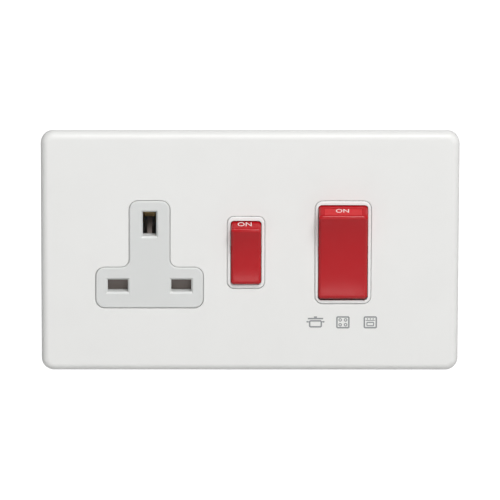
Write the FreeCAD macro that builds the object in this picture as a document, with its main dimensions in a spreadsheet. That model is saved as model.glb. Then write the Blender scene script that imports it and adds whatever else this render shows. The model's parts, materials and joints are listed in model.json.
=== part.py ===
"""Cooker control unit: a screwless double wall plate with a switched three-pin socket and a double-pole cooker switch.

Frame: the wall is the plane Y = 0 and the room is on its -Y side. X runs to the right, Z up. The origin lies midway
between the two fixing holes. "Level" below is the height above the wall, out into the room, so it is -Y.
"""

import FreeCAD, Part
import math
import os

import Sketcher

DRIVING = {
    # front plate, a pressed metal shell
    "plate_width": 146.0,
    "plate_height": 86.0,
    "plate_front": 4.7,
    "plate_lift": 0.2,
    "plate_wall": 1.0,
    "plate_corner": 4.5,
    "plate_edge": 2.6,
    "prise_width": 9.0,
    "prise_height": 1.2,
    # clearances between pieces
    "cover_gap": 0.2,
    "frame_gap": 0.4,
    "fit_gap": 0.2,
    "pivot_gap": 0.06,
    "touch_gap": 0.05,
    # support frame
    "frame_front": 3.0,
    "frame_wall": 1.8,
    "web_front": 1.6,
    "web_recess": 0.3,
    "fixing_spacing": 120.6,
    "fixing_hole": 4.2,
    "fixing_boss": 9.0,
    "clip_width": 12.0,
    "clip_spread": 48.0,
    "clip_notch": 1.4,
    "cut_over": 1.0,
    # flanges of the three front mouldings
    "flange_thick": 1.9,
    "flange_seat": 2.6,
    "flange_apart": 1.0,
    "flange_side": 3.3,
    "flange_rib": 3.0,
    "flange_end": 3.0,
    "boss_front": 5.0,
    "boss_edge": 0.35,
    "lip_thick": 1.2,
    "skirt_wall": 1.3,
    "skirt_rear": -1.3,
    "boss_rear": -3.3,
    # socket face with its pin slots
    "socket_x": -35.1,
    "pin_spacing": 22.2,
    "earth_rise": 22.2,
    "line_row": -12.0,
    "bar_width": 37.6,
    "bar_top": -5.4,
    "face_bottom": -20.0,
    "face_top": 18.5,
    "stem_width": 14.2,
    "face_round": 3.2,
    "inner_round": 2.9,
    "slot_width": 7.0,
    "slot_height": 4.4,
    "earth_width": 4.7,
    "earth_height": 8.7,
    "slot_bevel": 0.6,
    "guide_depth": 4.5,
    "guide_wall": 1.2,
    "rail_height": 8.8,
    "seat_width": 4.7,
    "seat_deep": 2.0,
    "face_flange_left": -56.0,
    "face_flange_right": -12.2,
    "face_flange_bottom": -24.2,
    "face_flange_top": 22.4,
    # pins of the plug
    "pin_high": 4.0,
    "earth_pin_wide": 4.0,
    "earth_pin_long": 22.7,
    "tip_room": 0.8,
    # shutter
    "shutter_thick": 1.2,
    "shutter_width": 31.2,
    "rail_wall": 1.0,
    "shutter_travel": 4.9,
    "shutter_lap": 0.6,
    "shutter_bar": 1.2,
    "arm_wall": 0.8,
    "cam_width": 1.7,
    "cam_depth": 5.0,
    "cam_foot": 2.0,
    "shutter_coil": 1.3,
    "shutter_turns": 6.0,
    "notch_half": 1.9,
    "notch_deep": 4.5,
    # rear base
    "base_left": -55.1,
    "base_right": 52.7,
    "base_half": 30.0,
    "base_wall": 1.6,
    "base_floor": 1.6,
    "base_corner": 2.0,
    "cell_wall": 1.2,
    "rib_height": 8.0,
    "rib_drop": 0.6,
    # switches: common sizes
    "rocker_pivot": 0.9,
    "rocker_tilt": 7.5,
    "rocker_gap": 0.15,
    "rocker_side_gap": 0.2,
    "rocker_wall": 1.3,
    "rocker_edge": 0.7,
    "edge_angle": 45.0,
    "facet_angle": 80.0,
    "skirt_angle": 102.0,
    "hollow_lead": 0.6,
    "hollow_slope": 2.0,
    "panel_side": 2.0,
    "panel_start": 1.1,
    "panel_end": 4.6,
    "panel_deep": 0.15,
    "hole_round": 1.3,
    "trunnion_radius": 1.5,
    "bearing_deep": 0.75,
    "well_rear": -3.5,
    "blade_tilt": 10.0,
    "ball_gap": 0.05,
    "blade_tail": 0.7,
    # small rocker for the socket
    "small_x": -1.4,
    "small_hole_width": 10.9,
    "small_hole_height": 23.0,
    "small_ring_side": 1.05,
    "small_ring_end": 1.4,
    "small_ring_round": 2.3,
    "small_edge_out": 7.1,
    "small_edge_in": 1.25,
    "small_dish": 1.4,
    "small_reach": 10.0,
    "small_ball": 1.1,
    "small_blade_thick": 0.8,
    "small_blade_width": 5.0,
    "small_arm": 7.0,
    "small_flange_half": 23.0,
    # large rocker for the cooker
    "large_x": 32.5,
    "large_hole_width": 17.5,
    "large_hole_height": 34.3,
    "large_ring_side": 1.0,
    "large_ring_end": 1.3,
    "large_ring_round": 2.7,
    "large_edge_out": 7.75,
    "large_edge_in": 1.8,
    "large_dish": 2.0,
    "large_reach": 11.0,
    "large_ball": 1.3,
    "large_blade_thick": 1.2,
    "large_blade_width": 6.0,
    "large_arm": 8.5,
    "large_flange_half": 31.0,
    # plungers and springs
    "tube_wall": 0.9,
    "tube_length": 6.4,
    "tube_merge": 0.25,
    "tube_end": 0.6,
    "plunger_gap": 0.1,
    "plunger_seat": 3.4,
    "nose_angle": 28.0,
    "spring_wire": 0.35,
    "plunger_turns": 4.0,
    # contacts, links and terminals
    "link_thick": 0.9,
    "clip_strip": 0.8,
    "clip_long": 6.0,
    "clip_squeeze": 0.1,
    "clip_flare": 0.8,
    "clip_lead": 2.2,
    "mouth_room": 1.4,
    "contact_radius": 1.4,
    "contact_thick": 0.6,
    "link_width": 3.6,
    "block_width": 10.0,
    "block_height": 9.0,
    "block_deep": 10.5,
    "block_inset": 2.4,
    "return_width": 1.8,
    "block_apart": 6.6,
    "cable_offset": 0.5,
    "cable_hole": 5.5,
    "cable_entry": 7.0,
    "clamp_screw": 4.8,
    "earth_block_width": 9.0,
    "strap_thick": 0.8,
    "strap_width": 4.0,
    "strap_run": 35.0,
    "eyelet_width": 7.4,
    "tab_width": 6.0,
    "tab_up": 24.0,
    # screws that hold the base and the front mouldings together
    "screw_shank": 2.6,
    "face_screw_out": 10.6,
    "face_screw_up": 8.0,
    "large_screw_clear": 3.55,
    "screw_head": 4.4,
    "screw_head_thick": 1.6,
    "screw_stop": 0.5,
    "driver_slot": 0.8,
    "driver_depth": 0.9,
    "clamp_sunk": 0.4,
    "screw_boss": 4.4,
    "screw_post": 6.0,
    "screw_inset": 4.9,
}


class Size:
    """A length or angle that carries its value and the sheet expression that gives it."""

    def __init__(self, value, text):
        self.value = value
        self.text = text

    def __add__(self, other):
        other = as_size(other)
        return Size(self.value + other.value, f"({self.text} + {other.text})")

    def __sub__(self, other):
        other = as_size(other)
        return Size(self.value - other.value, f"({self.text} - {other.text})")

    def __mul__(self, other):
        other = as_size(other)
        return Size(self.value * other.value, f"({self.text} * {other.text})")

    def __truediv__(self, other):
        other = as_size(other)
        return Size(self.value / other.value, f"({self.text} / {other.text})")

    def __neg__(self):
        return Size(-self.value, f"(0 - {self.text})")

    def __radd__(self, other):
        return as_size(other) + self

    def __rsub__(self, other):
        return as_size(other) - self

    def __rmul__(self, other):
        return as_size(other) * self


def as_size(number):
    """A plain number as a Size; a Size as it is."""
    if isinstance(number, Size):
        return number
    return Size(float(number), f"{float(number):.6f}")


def sine(angle):
    return Size(math.sin(math.radians(angle.value)), f"sin({angle.text})")


def cosine(angle):
    return Size(math.cos(math.radians(angle.value)), f"cos({angle.text})")


def root(size):
    return Size(math.sqrt(size.value), f"sqrt({size.text})")


doc = FreeCAD.newDocument("cooker_control_unit")
sheet = doc.addObject("Spreadsheet::Sheet", "sizes")


class Driving:
    """The driving dimensions by name, each a Size bound to its cell."""


d = Driving()
for row, (name, value) in enumerate(DRIVING.items(), start=1):
    sheet.set(f"A{row}", name)
    sheet.set(f"B{row}", str(value))
    sheet.setAlias(f"B{row}", name)
    setattr(d, name, Size(value, f"sizes.{name}"))
doc.recompute()

SUBPARTS = []


def bind(thing, path, size):
    """Give a property its size from the sheet."""
    thing.setExpression(path, as_size(size).text)


def new_body(name):
    body = doc.addObject("PartDesign::Body", name)
    body.Label = name
    SUBPARTS.append(body)
    return body


def origin_part(body, role):
    return next(part for part in body.Origin.OriginFeatures if part.Role == role)


def new_sketch(body, plane, level):
    """A sketch on one of the body's own planes. On XZ_Plane its normal points out of the wall."""
    sketch = body.newObject("Sketcher::SketchObject", f"{body.Name}_sketch")
    sketch.AttachmentSupport = (origin_part(body, plane), [""])
    sketch.MapMode = "FlatFace"
    bind(sketch, "AttachmentOffset.Base.z", level)
    return sketch


def point(x, y):
    return FreeCAD.Vector(as_size(x).value, as_size(y).value, 0)


def fix_x(sketch, geometry, end, x):
    index = sketch.addConstraint(Sketcher.Constraint("DistanceX", -1, 1, geometry, end, as_size(x).value))
    bind(sketch, f"Constraints[{index}]", x)


def fix_y(sketch, geometry, end, y):
    index = sketch.addConstraint(Sketcher.Constraint("DistanceY", -1, 1, geometry, end, as_size(y).value))
    bind(sketch, f"Constraints[{index}]", y)


def draw_polygon(sketch, points):
    """Straight sides between points, each point fixed from the origin."""
    count = len(points)
    first = sketch.GeometryCount
    for i in range(count):
        sketch.addGeometry(Part.LineSegment(point(*points[i]), point(*points[(i + 1) % count])))
    for i in range(count):
        sketch.addConstraint(Sketcher.Constraint("Coincident", first + i, 2, first + (i + 1) % count, 1))
        fix_x(sketch, first + i, 1, points[i][0])
        fix_y(sketch, first + i, 1, points[i][1])


def draw_round_cornered(sketch, corners):
    """An outline of level and upright sides whose corners (x, y, radius) are rounded by tangent arcs."""
    count = len(corners)
    sides = []
    arcs = []
    for i in range(count):
        here, after = corners[i], corners[(i + 1) % count]
        sides.append(side_between(here, after))
    for i in range(count):
        sketch_side = sketch.addGeometry(Part.LineSegment(*sides[i]))
        sides[i] = (sketch_side, sides[i])
    for i in range(count):
        x, y, radius = corners[i]
        arrive = sides[i - 1][1][1]
        leave = sides[i][1][0]
        middle = corner_middle(arrive, leave, point(x, y), as_size(radius).value)
        arcs.append(sketch.addGeometry(Part.Arc(arrive, middle, leave)))
    for i in range(count):
        line, ends = sides[i]
        upright = abs(ends[0].x - ends[1].x) < abs(ends[0].y - ends[1].y)
        sketch.addConstraint(Sketcher.Constraint("Vertical" if upright else "Horizontal", line))
        if upright:
            fix_x(sketch, line, 1, corners[i][0])
        else:
            fix_y(sketch, line, 1, corners[i][1])
    for i in range(count):
        arc = arcs[i]
        arrive_end, leave_end = arc_ends(sketch, arc, sides[i - 1][1][1])
        sketch.addConstraint(Sketcher.Constraint("Tangent", sides[i - 1][0], 2, arc, arrive_end))
        sketch.addConstraint(Sketcher.Constraint("Tangent", sides[i][0], 1, arc, leave_end))
        index = sketch.addConstraint(Sketcher.Constraint("Radius", arc, as_size(corners[i][2]).value))
        bind(sketch, f"Constraints[{index}]", corners[i][2])


def side_between(here, after):
    """The straight part of a side, shortened at both ends by its corners' radii."""
    start, end = point(here[0], here[1]), point(after[0], after[1])
    along = (end - start).normalize()
    return start + along * as_size(here[2]).value, end - along * as_size(after[2]).value


def corner_middle(arrive, leave, corner, radius):
    """The middle of the arc that rounds a square corner."""
    centre = arrive + leave - corner
    return centre + (corner - centre).normalize() * radius


def arc_ends(sketch, arc, arrive):
    """Which end of the arc (1 or 2) the outline arrives at, and which it leaves from."""
    start = sketch.getPoint(arc, 1)
    return (1, 2) if (start - arrive).Length < 1e-6 else (2, 1)


def box_corners(left, right, bottom, top, radius=None):
    """The four corners of an upright rectangle, rounded where a radius is given."""
    corners = [(left, bottom), (right, bottom), (right, top), (left, top)]
    if radius is None:
        return corners
    return [(x, y, radius) for x, y in corners]


def centred_corners(centre_x, centre_z, width, height, radius=None):
    return box_corners(
        centre_x - width / 2, centre_x + width / 2, centre_z - height / 2, centre_z + height / 2, radius
    )


def draw(sketch, outline):
    """Draw an outline: ("disc", x, y, radius), or a list of corners with or without radii."""
    if outline[0] == "disc":
        _, x, y, radius = outline
        circle = sketch.addGeometry(Part.Circle(point(x, y), FreeCAD.Vector(0, 0, 1), as_size(radius).value))
        fix_x(sketch, circle, 3, x)
        fix_y(sketch, circle, 3, y)
        index = sketch.addConstraint(Sketcher.Constraint("Radius", circle, as_size(radius).value))
        bind(sketch, f"Constraints[{index}]", radius)
    elif len(outline[0]) == 3:
        draw_round_cornered(sketch, outline)
    else:
        draw_polygon(sketch, outline)


def add(body, outlines, start, end, plane="XZ_Plane"):
    """Pad the outlines from one level to a higher one."""
    sketch = new_sketch(body, plane, start)
    for outline in outlines:
        draw(sketch, outline)
    pad = body.newObject("PartDesign::Pad", f"{body.Name}_pad")
    pad.Profile = sketch
    bind(pad, "Length", as_size(end) - start)
    return pad


def cut(body, outlines, start, end, plane="XZ_Plane"):
    """Cut the outlines away between a level and a higher one, and make sure that something went."""
    doc.recompute()
    before = body.Shape.Volume
    sketch = new_sketch(body, plane, end)
    for outline in outlines:
        draw(sketch, outline)
    pocket = body.newObject("PartDesign::Pocket", f"{body.Name}_pocket")
    pocket.Profile = sketch
    bind(pocket, "Length", as_size(end) - start)
    doc.recompute()
    if not body.Shape.Volume < before:
        raise RuntimeError(f"a cut in {body.Label} removed nothing")
    return pocket


def edges_at(shape, level, inside=None):
    """The names of the edges that lie in the plane of a level, within a box (left, right, bottom, top) if given."""
    names = []
    for number, edge in enumerate(shape.Edges, start=1):
        box = edge.BoundBox
        flat = abs(box.YMin + level) < 0.01 and abs(box.YMax + level) < 0.01
        if not flat:
            continue
        if inside is not None:
            left, right, bottom, top = (as_size(side).value for side in inside)
            within = left < box.XMin and box.XMax < right and bottom < box.ZMin and box.ZMax < top
            if not within:
                continue
        names.append(f"Edge{number}")
    return names


def dress(body, kind, names, size):
    """A fillet or chamfer on named edges of the body's last feature."""
    base = body.Tip
    feature = body.newObject(f"PartDesign::{kind}", f"{body.Name}_{kind.lower()}")
    feature.Base = (base, names)
    bind(feature, "Radius" if kind == "Fillet" else "Size", size)
    doc.recompute()
    return feature


# Levels and places that several pieces share

flange_front = d.web_front + d.flange_thick
web_rear = d.web_recess
lip_rear = d.boss_front - d.lip_thick
pin_tip = d.boss_front - d.earth_pin_long
base_rear = pin_tip - d.tip_room - d.clip_strip - d.link_thick - d.base_floor
floor_front = base_rear + d.base_floor
link_front = floor_front + d.link_thick
guide_rear = d.boss_front - d.guide_depth
shutter_front = guide_rear - d.fit_gap
shutter_rear = shutter_front - d.shutter_thick
line_x = d.socket_x + d.pin_spacing / 2
neutral_x = d.socket_x - d.pin_spacing / 2
earth_row = d.line_row + d.earth_rise
cavity_left = d.base_left + d.base_wall
cavity_right = d.base_right - d.base_wall
cavity_half = d.base_half - d.base_wall
block_front = link_front + d.block_deep
cable_level = block_front - d.block_deep / 2 + d.cable_offset
block_row = cavity_half - d.block_inset - d.block_height / 2
small_ring_width = d.small_hole_width + 2 * d.small_ring_side
small_ring_height = d.small_hole_height + 2 * d.small_ring_end
large_ring_width = d.large_hole_width + 2 * d.large_ring_side
large_ring_height = d.large_hole_height + 2 * d.large_ring_end
pole_tube = d.large_ball + d.plunger_gap + d.tube_wall
pole_offset = d.large_hole_width / 2 - d.rocker_side_gap - d.rocker_wall - pole_tube + d.tube_merge
block_offset = (d.block_width + d.block_apart) / 2
line_block_x = d.large_x - block_offset
neutral_block_x = d.large_x + block_offset
small_left = d.face_flange_right + d.flange_apart
small_right = d.small_x + small_ring_width / 2 + d.flange_side
large_left = small_right + d.flange_rib
large_right = (d.fixing_spacing - d.eyelet_width) / 2 - d.flange_end
partition_x = (small_right + large_left) / 2 - d.cell_wall / 2
block_end = block_row + d.block_height / 2
strap_end = block_row - d.clamp_screw / 2 - 2 * d.fit_gap

face_flange = (d.face_flange_left, d.face_flange_right, d.face_flange_bottom, d.face_flange_top)
small_flange = (small_left, small_right, -d.small_flange_half, d.small_flange_half)
large_flange = (large_left, large_right, -d.large_flange_half, d.large_flange_half)

face_screws = [
    (d.socket_x - d.face_screw_out, d.face_screw_up),
    (d.face_flange_right - d.screw_inset, d.face_flange_bottom + d.screw_inset),
]
small_screws = [(d.small_x, d.screw_inset - d.small_flange_half)]
large_screws = [(d.large_x, side * (large_ring_height / 2 + d.large_screw_clear)) for side in (-1, 1)]
screw_places = face_screws + small_screws + large_screws


def eight_sided(x, z, radius):
    """A regular eight-sided outline round a circle, for plain screw shanks and their holes."""
    outer = radius / math.cos(math.pi / 8)
    turns = [math.pi / 8 + i * math.pi / 4 for i in range(8)]
    return [(x + outer * math.cos(turn), z + outer * math.sin(turn)) for turn in turns]


def inset(rectangle, margin):
    left, right, bottom, top = rectangle
    return left + margin, right - margin, bottom + margin, top - margin


def face_outline(spread):
    """The socket face's outline, an upright stem on a wide bar, grown outwards by spread."""
    half_bar = d.bar_width / 2 + spread
    half_stem = d.stem_width / 2 + spread
    bottom, shoulder, top = d.face_bottom - spread, d.bar_top + spread, d.face_top + spread
    outer = d.face_round + spread
    inner = d.inner_round - spread
    return [
        (d.socket_x - half_bar, bottom, outer),
        (d.socket_x + half_bar, bottom, outer),
        (d.socket_x + half_bar, shoulder, outer),
        (d.socket_x + half_stem, shoulder, inner),
        (d.socket_x + half_stem, top, outer),
        (d.socket_x - half_stem, top, outer),
        (d.socket_x - half_stem, shoulder, inner),
        (d.socket_x - half_bar, shoulder, outer),
    ]


def ring_outline(centre_x, ring, spread=0.0):
    width, height, radius = ring
    spread = as_size(spread)
    return centred_corners(centre_x, as_size(0.0), width + 2 * spread, height + 2 * spread, radius + spread)


def front_plate():
    """Pressed metal cover with three cut-outs and a notch for prising it off."""
    body = new_body("front_plate")
    zero = as_size(0.0)
    add(body, [centred_corners(zero, zero, d.plate_width, d.plate_height, d.plate_corner)], d.plate_lift, d.plate_front)
    doc.recompute()
    dress(body, "Fillet", edges_at(body.Shape, d.plate_front.value), d.plate_edge)
    inner_face = d.plate_front - d.plate_wall
    inner = centred_corners(
        zero, zero, d.plate_width - 2 * d.plate_wall, d.plate_height - 2 * d.plate_wall, d.plate_corner - d.plate_wall
    )
    cavity_sketch = new_sketch(body, "XZ_Plane", d.plate_lift)
    draw(cavity_sketch, inner)
    cavity = body.newObject("PartDesign::Pocket", "front_plate_cavity")
    cavity.Profile = cavity_sketch
    cavity.Reversed = True
    bind(cavity, "Length", inner_face - d.plate_lift)
    doc.recompute()
    dress(body, "Chamfer", edges_at(body.Shape, inner_face.value), (d.plate_edge - d.plate_wall) / 2)
    openings = [
        face_outline(d.cover_gap),
        ring_outline(d.small_x, small_ring, d.cover_gap),
        ring_outline(d.large_x, large_ring, d.cover_gap),
    ]
    cut(body, openings, inner_face - d.cut_over, d.plate_front + d.cut_over)
    lower_edge = -d.plate_height / 2
    notch = box_corners(
        -d.prise_width / 2, d.prise_width / 2, lower_edge - d.cut_over, lower_edge + d.plate_wall + d.cut_over
    )
    cut(body, [notch], d.plate_lift - d.cut_over, d.plate_lift + d.prise_height)


def support_frame():
    """Moulded carrier: a rim and a web with windows for the mouldings, fixing bosses and sprung edge clips."""
    body = new_body("support_frame")
    zero = as_size(0.0)
    shrink = 2 * (d.plate_wall + d.frame_gap)
    width, height = d.plate_width - shrink, d.plate_height - shrink
    corner = d.plate_corner - d.plate_wall - d.frame_gap
    rim_inside = centred_corners(zero, zero, width - 2 * d.frame_wall, height - 2 * d.frame_wall)
    add(body, [centred_corners(zero, zero, width, height, corner)], zero, d.frame_front)
    doc.recompute()
    dress(body, "Chamfer", edges_at(body.Shape, d.frame_front.value), (d.plate_edge - d.plate_wall) / 2 + d.fit_gap)
    cut(body, [rim_inside], d.web_front, d.frame_front)
    cut(body, [rim_inside], zero, web_rear)
    fixings = [side * d.fixing_spacing / 2 for side in (-1, 1)]
    add(body, [centred_corners(x, zero, d.fixing_boss, d.fixing_boss) for x in fixings], zero, web_rear)
    windows = [box_corners(*inset(flange, d.flange_seat)) for flange in (face_flange, small_flange, large_flange)]
    cut(body, windows, web_rear, d.web_front)
    cut(body, [("disc", x, zero, d.fixing_hole / 2) for x in fixings], zero, d.web_front)
    tab_half = d.tab_width / 2 + d.fit_gap
    slot = box_corners(
        d.socket_x - tab_half, d.socket_x + tab_half, d.tab_up - d.fit_gap, d.tab_up + d.strap_thick + d.fit_gap
    )
    cut(body, [slot], web_rear, d.web_front)
    notches = []
    for up in (-1, 1):
        for across in (-1, 1):
            for side in (-1, 1):
                x = across * d.clip_spread + side * (d.clip_width / 2 + d.clip_notch / 2)
                z = up * (height / 2 - d.frame_wall / 2)
                notches.append(centred_corners(x, z, d.clip_notch, d.frame_wall + d.cut_over))
    cut(body, notches, d.web_front, d.frame_front)


def socket_face():
    """T-shaped moulding with the pin slots, their guides, a flange and a skirt that houses the shutter."""
    body = new_body("socket_face")
    add(body, [box_corners(*face_flange)], d.web_front, flange_front)
    add(body, [face_outline(as_size(0.0))], flange_front, d.boss_front)
    doc.recompute()
    dress(body, "Chamfer", edges_at(body.Shape, d.boss_front.value), d.boss_edge)
    skirt = inset(face_flange, d.flange_seat + d.fit_gap)
    add(body, [box_corners(*skirt)], d.skirt_rear, d.web_front)
    # the chamber behind the front wall, and the guides that line the slots inside it
    chamber = inset(skirt, d.skirt_wall)
    cut(body, [box_corners(*chamber)], d.skirt_rear, d.web_front)
    guides = [(centre_x, d.line_row, d.slot_width, d.slot_height) for centre_x in (neutral_x, line_x)]
    guides.append((d.socket_x, earth_row, d.earth_width, d.earth_height))
    for centre_x, centre_z, width, height in guides:
        wall = centred_corners(centre_x, centre_z, width + 2 * d.guide_wall, height + 2 * d.guide_wall)
        add(body, [wall], guide_rear, d.web_front)
    seat_half = d.seat_width / 2
    spring_seat = box_corners(d.socket_x - seat_half, d.socket_x + seat_half, skirt[2], chamber[2])
    add(body, [spring_seat], d.skirt_rear - d.seat_deep, d.skirt_rear)
    rails = []
    for side in (-1, 1):
        inner_edge = d.socket_x + side * (d.shutter_width / 2 + d.fit_gap)
        rail_x = inner_edge + side * d.rail_wall / 2
        rails.append(centred_corners(rail_x, d.line_row + d.shutter_travel / 2, d.rail_wall, d.rail_height))
    add(body, rails, d.skirt_rear, d.web_front)
    for x, z in face_screws:
        add(body, [centred_corners(x, z, d.screw_boss, d.screw_boss)], d.boss_rear, d.web_front)
    slots = [centred_corners(x, z, width, height) for x, z, width, height in guides]
    cut(body, slots, guide_rear, d.boss_front)
    mouths = []
    for x, z, width, height in guides:
        half_width, half_height = width / 2 + d.slot_bevel, height / 2 + d.slot_bevel
        limits = (x - half_width, x + half_width, z - half_height, z + half_height)
        mouths += edges_at(body.Shape, d.boss_front.value, limits)
    dress(body, "Chamfer", mouths, d.slot_bevel)
    cut(body, screw_holes(face_screws), d.boss_rear, d.web_front)


def screw_holes(places):
    return [eight_sided(x, z, d.screw_shank / 2 + d.touch_gap) for x, z in places]


def switch_housing(name, centre_x, flange, ring, hole, screws):
    """Surround ring with the well that the rocker turns in, bearing holes for its trunnions and screw bosses."""
    body = new_body(name)
    zero = as_size(0.0)
    ring_width, ring_height, _ = ring
    hole_width, hole_height = hole
    add(body, [box_corners(*flange)], d.web_front, flange_front)
    add(body, [ring_outline(centre_x, ring)], flange_front, d.boss_front)
    doc.recompute()
    dress(body, "Chamfer", edges_at(body.Shape, d.boss_front.value), d.boss_edge)
    add(body, [centred_corners(centre_x, zero, ring_width, ring_height)], d.well_rear, d.web_front)
    for x, z in screws:
        add(body, [centred_corners(x, z, d.screw_boss, d.screw_boss)], d.boss_rear, d.web_front)
    cut(body, [centred_corners(centre_x, zero, hole_width, hole_height, d.hole_round)], lip_rear, d.boss_front)
    well_half = skirt_radius(hole_height) + 2 * d.fit_gap
    cut(body, [centred_corners(centre_x, zero, hole_width, 2 * well_half)], d.well_rear, lip_rear)
    cut(body, screw_holes(screws), d.boss_rear, d.web_front)
    bearing = ("disc", -d.rocker_pivot, zero, d.trunnion_radius + d.pivot_gap)
    reach = hole_width / 2 + d.bearing_deep
    cut(body, [bearing], centre_x - reach, centre_x + reach, plane="YZ_Plane")


def skirt_radius(hole_height):
    """Radius about the pivot that a rocker's end walls may have, to pass the lip with the rocker gap."""
    reach = hole_height / 2 - d.rocker_gap
    rise = lip_rear - d.rocker_pivot
    return root(reach * reach + rise * rise)


def rocker_profile(sketch, radius, edge_out, edge_up, dish):
    """Side view about the pivot: a dished face, two end facets and end walls that follow a circle."""
    facet_out, facet_up = radius * cosine(d.facet_angle), radius * sine(d.facet_angle)
    rear_out, rear_up = radius * cosine(d.skirt_angle), radius * sine(d.skirt_angle)
    face_middle = edge_out - dish
    zero = as_size(0.0)
    # the sketch's x axis is +Y, into the wall, so outward distances are negative
    top_edge, low_edge = point(-edge_out, edge_up), point(-edge_out, -edge_up)
    face = sketch.addGeometry(Part.Arc(top_edge, point(-face_middle, zero), low_edge))
    low_facet = sketch.addGeometry(Part.LineSegment(low_edge, point(-facet_out, -facet_up)))
    low_wall = sketch.addGeometry(
        Part.Arc(point(-facet_out, -facet_up), point(zero, -radius), point(-rear_out, -rear_up))
    )
    rear = sketch.addGeometry(Part.LineSegment(point(-rear_out, -rear_up), point(-rear_out, rear_up)))
    top_wall = sketch.addGeometry(Part.Arc(point(-rear_out, rear_up), point(zero, radius), point(-facet_out, facet_up)))
    top_facet = sketch.addGeometry(Part.LineSegment(point(-facet_out, facet_up), top_edge))
    for line, start, end in (
        (low_facet, (-edge_out, -edge_up), (-facet_out, -facet_up)),
        (rear, (-rear_out, -rear_up), (-rear_out, rear_up)),
        (top_facet, (-facet_out, facet_up), (-edge_out, edge_up)),
    ):
        fix_x(sketch, line, 1, start[0])
        fix_y(sketch, line, 1, start[1])
        fix_x(sketch, line, 2, end[0])
        fix_y(sketch, line, 2, end[1])
    join(sketch, face, top_facet, 2, low_facet, 1)
    join(sketch, low_wall, low_facet, 2, rear, 1)
    join(sketch, top_wall, rear, 2, top_facet, 1)
    face_radius = (edge_up * edge_up + dish * dish) / (2 * dish)
    for arc, size in ((face, face_radius), (low_wall, radius), (top_wall, radius)):
        index = sketch.addConstraint(Sketcher.Constraint("Radius", arc, size.value))
        bind(sketch, f"Constraints[{index}]", size)


def join(sketch, arc, before, before_end, after, after_end):
    """Tie an arc's two ends to the ends of its neighbouring lines."""
    before_point = sketch.getPoint(before, before_end)
    start_first = (sketch.getPoint(arc, 1) - before_point).Length < 1e-6
    first, second = (1, 2) if start_first else (2, 1)
    sketch.addConstraint(Sketcher.Constraint("Coincident", arc, first, before, before_end))
    sketch.addConstraint(Sketcher.Constraint("Coincident", arc, second, after, after_end))


def sprung_front(edge_out, dish):
    """How far out from the pivot the closed front end of a plunger's tube lies."""
    return edge_out - dish - d.rocker_wall - d.tube_end


def cap_slice(body, start, length, profile, taper=None):
    """One slice of a rocker's cap along its pivot: straight, or tapered to soften the edges of a side face."""
    sketch = new_sketch(body, "YZ_Plane", start)
    rocker_profile(sketch, *profile)
    pad = body.newObject("PartDesign::Pad", f"{body.Name}_slice")
    pad.Profile = sketch
    bind(pad, "Length", length)
    if taper is not None:
        bind(pad, "TaperAngle", -d.edge_angle)
        pad.Reversed = taper < 0
    doc.recompute()


def rocker(name, centre_x, hole, edge_out, edge_up, dish, ball, poles):
    """Hollow red cap on two trunnions, with a tube behind it for each pole's plunger."""
    body = new_body(name)
    hole_width, hole_height = hole
    radius = skirt_radius(hole_height)
    half = hole_width / 2 - d.rocker_side_gap
    straight = half - d.rocker_edge
    profile = (radius, edge_out, edge_up, dish)
    cap_slice(body, -straight, 2 * straight, profile)
    for side in (-1, 1):
        cap_slice(body, side * straight, d.rocker_edge, profile, side)
    rear = -radius * cosine(d.skirt_angle)
    inner_front = edge_out - dish - d.rocker_wall
    inner_half = radius - d.rocker_wall - d.fit_gap
    slope_half = edge_up - d.rocker_wall - d.hollow_lead
    slope_from = inner_front - d.hollow_slope
    open_end = rear + d.cut_over
    hollow = [
        (open_end, -inner_half),
        (-slope_from, -inner_half),
        (-inner_front, -slope_half),
        (-inner_front, slope_half),
        (-slope_from, inner_half),
        (open_end, inner_half),
    ]
    cut(body, [hollow], d.rocker_wall - half, half - d.rocker_wall, plane="YZ_Plane")
    bore = ball + d.plunger_gap
    tube = 2 * (bore + d.tube_wall)
    zero = as_size(0.0)
    add(body, [centred_corners(offset, zero, tube, tube) for offset in poles], -d.tube_length, inner_front)
    cut(body, [("disc", offset, zero, bore) for offset in poles], -d.tube_length, sprung_front(edge_out, dish))
    pin = ("disc", zero, zero, d.trunnion_radius)
    outer = hole_width / 2 + d.bearing_deep - d.fit_gap
    add(body, [pin], half - d.rocker_wall, outer, plane="YZ_Plane")
    add(body, [pin], -outer, d.rocker_wall - half, plane="YZ_Plane")
    if name == "cooker_rocker":
        facet_panel(body, radius, edge_out, edge_up, half - d.panel_side)
    bind(body, "Placement.Base.x", centre_x)
    bind(body, "Placement.Base.y", -d.rocker_pivot)
    turn_about_x(body, d.rocker_tilt)


def facet_panel(body, radius, edge_out, edge_up, half):
    """A shallow sunk panel on the upper facet, where the large rocker is marked."""
    end_out, end_up = radius * cosine(d.facet_angle), radius * sine(d.facet_angle)
    run_out, run_up = end_out - edge_out, end_up - edge_up
    length = root(run_out * run_out + run_up * run_up)
    step_out, step_up = run_out / length, run_up / length
    corners = []
    for along, away in (
        (d.panel_start, -d.panel_deep), (d.panel_end, -d.panel_deep), (d.panel_end, d.cut_over),
        (d.panel_start, d.cut_over),
    ):
        out = edge_out + along * step_out + away * step_up
        up = edge_up + along * step_up - away * step_out
        corners.append((-out, up))
    cut(body, [corners], -half, half, plane="YZ_Plane")


def turn_about_x(thing, angle):
    thing.Placement = FreeCAD.Placement(
        thing.Placement.Base, FreeCAD.Rotation(FreeCAD.Vector(1, 0, 0), as_size(angle).value)
    )
    bind(thing, "Placement.Rotation.Angle", angle)


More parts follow.
